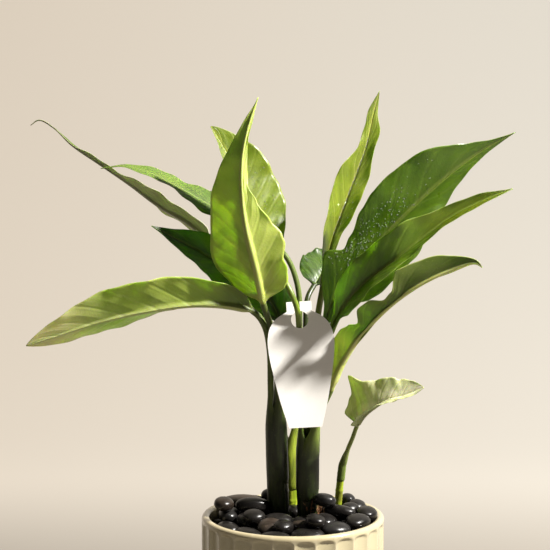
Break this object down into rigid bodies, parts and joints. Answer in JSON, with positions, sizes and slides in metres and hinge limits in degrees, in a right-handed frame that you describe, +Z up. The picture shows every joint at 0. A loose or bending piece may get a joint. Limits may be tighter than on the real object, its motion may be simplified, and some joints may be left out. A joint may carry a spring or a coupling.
{
  "type": "potted Chinese evergreen plant",
  "caption": "Leafy Chinese evergreen in a fluted glazed pot, with a top dressing of black pebbles and a blank paper tag hung on one leaf stalk.",
  "frame": {"origin": "centre of the pot's flat base", "axes": "+Z up from the base to the leaf tips, -Y towards the tag and the front of the plant, +X to the plant's right as seen from the front"},
  "size_m": [0.4046, 0.1953, 0.4761],
  "materials": {
    "glaze": "glossy sage-cream glaze",
    "soil": "damp crumbly potting mix",
    "shoot": "smooth sheathed stem",
    "leaf": "waxy leaf, paler underneath",
    "stone": "polished black pebble",
    "card": "uncoated white card"
  },
  "bodies": {
    "root": {"pot": "glaze", "soil": "soil", "shoot_back": "shoot", "shoot_centre": "shoot", "shoot_left": "shoot", "shoot_small": "shoot", "leaf_back": "leaf", "leaf_behind_centre": "leaf", "leaf_far_left": "leaf", "leaf_front_centre": "leaf", "leaf_front_left": "leaf", "leaf_front_right": "leaf", "leaf_low_left": "leaf", "leaf_low_right": "leaf", "leaf_right": "leaf", "leaf_small": "leaf", "leaf_tall": "leaf", "leaf_upper_left": "leaf", "tag": "card", "pebble_01": "stone", "pebble_02": "stone", "pebble_03": "stone", "pebble_04": "stone", "pebble_05": "stone", "pebble_06": "stone", "pebble_07": "stone", "pebble_08": "stone", "pebble_09": "stone", "pebble_10": "stone", "pebble_11": "stone", "pebble_12": "stone", "pebble_13": "stone", "pebble_14": "stone", "pebble_15": "stone", "pebble_16": "stone", "pebble_17": "stone", "pebble_18": "stone", "pebble_19": "stone", "pebble_20": "stone", "pebble_21": "stone", "pebble_22": "stone", "pebble_23": "stone", "pebble_24": "stone", "pebble_25": "stone", "pebble_26": "stone", "pebble_27": "stone", "pebble_28": "stone", "pebble_29": "stone", "pebble_30": "stone", "pebble_31": "stone", "pebble_32": "stone", "pebble_33": "stone", "pebble_34": "stone", "pebble_35": "stone", "pebble_36": "stone", "pebble_37": "stone", "pebble_38": "stone", "pebble_39": "stone", "pebble_40": "stone", "pebble_41": "stone"}
  },
  "joints": []
}
